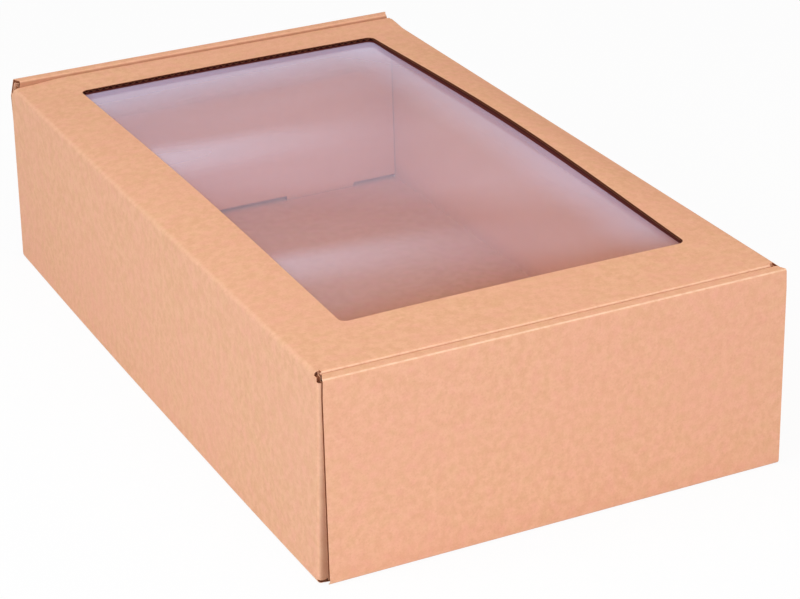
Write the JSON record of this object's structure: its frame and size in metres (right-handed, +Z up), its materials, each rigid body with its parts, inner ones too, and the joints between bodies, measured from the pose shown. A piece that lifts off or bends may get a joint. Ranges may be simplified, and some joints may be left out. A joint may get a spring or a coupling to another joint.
{
  "type": "window wine box",
  "caption": "Flat kraft corrugated mailer box with rolled end walls, a hinged tuck-in lid and a clear film window, sized for wine bottles lying down.",
  "frame": {"origin": "bottom centre of the closed box, on the surface it rests on", "axes": "+X from the hinge wall to the front wall, +Y along the box from the near end wall to the far one, +Z up"},
  "size_m": [0.2, 0.36, 0.092],
  "materials": {
    "kraft_board": "matte natural kraft liner",
    "clear_film": "clear glossy film"
  },
  "bodies": {
    "tray": {"tray": "kraft_board"},
    "lid": {"lid": "kraft_board", "window_film": "clear_film"}
  },
  "joints": [
    {"name": "lid_hinge", "type": "hinge", "parent": "tray", "child": "lid", "pos_m": [-0.0991, 0, 0.0861], "axis": [0, -1, 0], "range_deg": [0, 120]}
  ]
}
